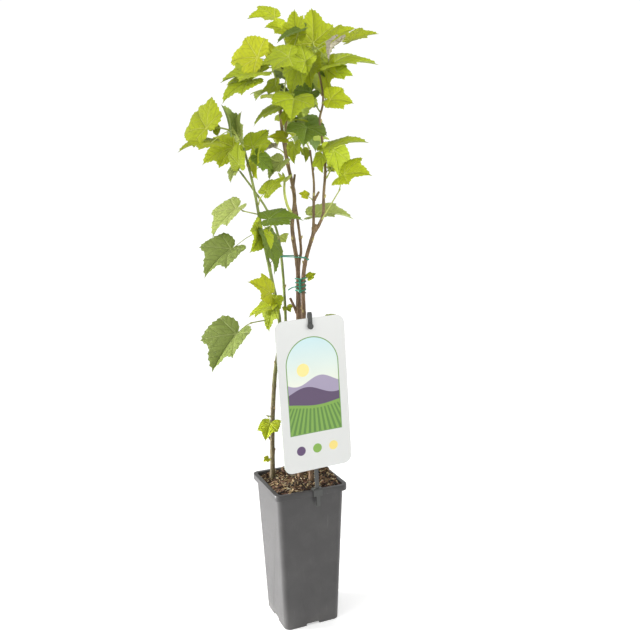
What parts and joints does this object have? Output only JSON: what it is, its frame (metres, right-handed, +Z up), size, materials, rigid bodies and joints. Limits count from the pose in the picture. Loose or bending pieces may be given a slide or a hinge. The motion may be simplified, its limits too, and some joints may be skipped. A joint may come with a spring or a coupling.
{
  "type": "potted blackcurrant bush",
  "caption": "Young blackcurrant bush with tied stems and lobed leaves in a tall square tapered nursery pot, with a picture label hung on a strip that clips to the rim.",
  "frame": {"origin": "centre of the pot's flat underside, on the ground", "axes": "+Z up along the plant, -Y out of the pot wall that carries the label, +X to the right of somebody who faces the label"},
  "size_m": [0.2804, 0.2241, 0.87],
  "materials": {
    "pot": "moulded, dull, lightly scuffed",
    "holder": "moulded, dull",
    "label": "printed film, semi-gloss",
    "soil": "moist, fibrous",
    "bark": "rough bark",
    "green_shoot": "smooth young bark",
    "tie": "coated, semi-gloss",
    "foliage": "leaf, satin above and matte below"
  },
  "bodies": {
    "root": {"pot": "pot", "soil": "soil", "label": "label", "label_holder": "holder", "stem_middle": "bark", "stem_right": "bark", "stem_back": "bark", "bough_inner": "bark", "bough_outer": "bark", "shoot_left": "green_shoot", "shoot_slim": "green_shoot", "foliage_left_high": "foliage", "foliage_left_mid": "foliage", "foliage_left_inner": "foliage", "leaf_left_small": "foliage", "foliage_mid_left": "foliage", "leaf_mid_pale": "foliage", "leaf_mid_small": "foliage", "foliage_base_left": "foliage", "leaf_base_big": "foliage", "leaf_base_small": "foliage", "foliage_top_right": "foliage", "foliage_top_left": "foliage", "foliage_top": "foliage", "leaf_fan": "foliage", "leaf_dark": "foliage", "foliage_centre": "foliage", "leaf_centre_small": "foliage", "foliage_centre_low": "foliage", "foliage_right": "foliage", "leaf_star": "foliage", "leaf_pale_right": "foliage", "foliage_back_high": "foliage", "foliage_back_right": "foliage", "foliage_back_left": "foliage", "tie_loop": "tie", "tie_turn_1": "tie", "tie_turn_2": "tie", "tie_turn_3": "tie", "tie_turn_4": "tie"}
  },
  "joints": []
}
